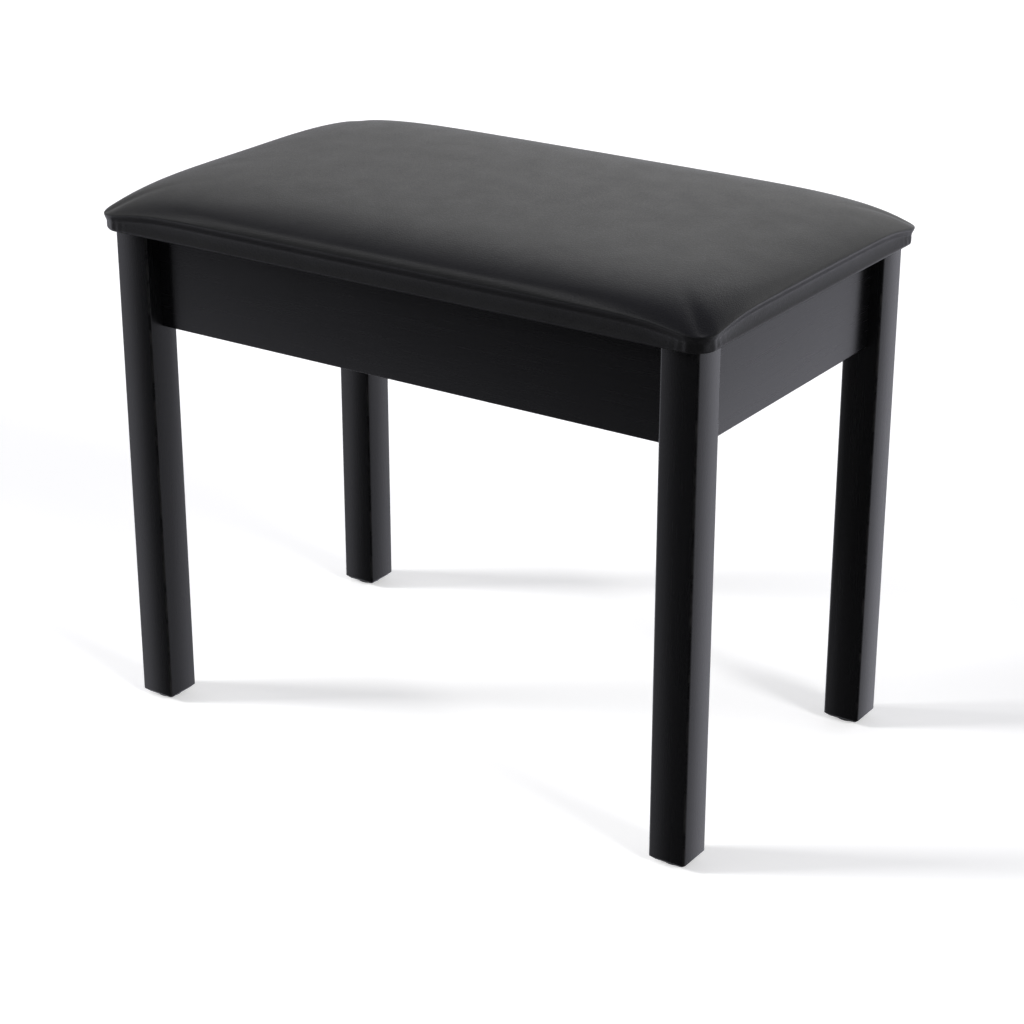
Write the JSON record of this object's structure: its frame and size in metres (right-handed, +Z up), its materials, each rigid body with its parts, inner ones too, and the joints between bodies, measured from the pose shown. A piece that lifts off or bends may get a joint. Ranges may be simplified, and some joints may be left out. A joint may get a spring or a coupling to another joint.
{
  "type": "piano bench",
  "caption": "Fixed padded bench seat on four deep aprons and square legs bolted at the corners, for one player at a keyboard.",
  "frame": {"origin": "on the floor, under the centre of the seat", "axes": "+Z up, X along the bench's length, Y across its depth with -Y the player's side"},
  "size_m": [0.584, 0.354, 0.4771],
  "materials": {
    "black_lacquer": "satin",
    "bare_wood": "matte",
    "plywood": "matte",
    "leatherette": "satin",
    "foam": "matte",
    "dust_cloth": "matte",
    "zinc_steel": "satin",
    "black_plastic": "matte"
  },
  "bodies": {
    "root": {"apron_back": "black_lacquer", "apron_front": "black_lacquer", "apron_left": "black_lacquer", "apron_right": "black_lacquer", "bolt_washer_back_left_1": "zinc_steel", "bolt_washer_back_left_2": "zinc_steel", "bolt_washer_back_right_1": "zinc_steel", "bolt_washer_back_right_2": "zinc_steel", "bolt_washer_front_left_1": "zinc_steel", "bolt_washer_front_left_2": "zinc_steel", "bolt_washer_front_right_1": "zinc_steel", "bolt_washer_front_right_2": "zinc_steel", "brace_screw_back_left_long": "zinc_steel", "brace_screw_back_left_short": "zinc_steel", "brace_screw_back_right_long": "zinc_steel", "brace_screw_back_right_short": "zinc_steel", "brace_screw_front_left_long": "zinc_steel", "brace_screw_front_left_short": "zinc_steel", "brace_screw_front_right_long": "zinc_steel", "brace_screw_front_right_short": "zinc_steel", "corner_brace_back_left": "bare_wood", "corner_brace_back_right": "bare_wood", "corner_brace_front_left": "bare_wood", "corner_brace_front_right": "bare_wood", "dust_cover": "dust_cloth", "glide_back_left": "black_plastic", "glide_back_right": "black_plastic", "glide_front_left": "black_plastic", "glide_front_right": "black_plastic", "leg_back_left": "black_lacquer", "leg_back_right": "black_lacquer", "leg_bolt_back_left_1": "zinc_steel", "leg_bolt_back_left_2": "zinc_steel", "leg_bolt_back_right_1": "zinc_steel", "leg_bolt_back_right_2": "zinc_steel", "leg_bolt_front_left_1": "zinc_steel", "leg_bolt_front_left_2": "zinc_steel", "leg_bolt_front_right_1": "zinc_steel", "leg_bolt_front_right_2": "zinc_steel", "leg_front_left": "black_lacquer", "leg_front_right": "black_lacquer", "leg_insert_back_left_1": "zinc_steel", "leg_insert_back_left_2": "zinc_steel", "leg_insert_back_right_1": "zinc_steel", "leg_insert_back_right_2": "zinc_steel", "leg_insert_front_left_1": "zinc_steel", "leg_insert_front_left_2": "zinc_steel", "leg_insert_front_right_1": "zinc_steel", "leg_insert_front_right_2": "zinc_steel", "seat_board": "plywood", "seat_cover": "leatherette", "seat_foam": "foam", "seat_screw_back_left": "zinc_steel", "seat_screw_back_right": "zinc_steel", "seat_screw_front_left": "zinc_steel", "seat_screw_front_right": "zinc_steel"}
  },
  "joints": []
}
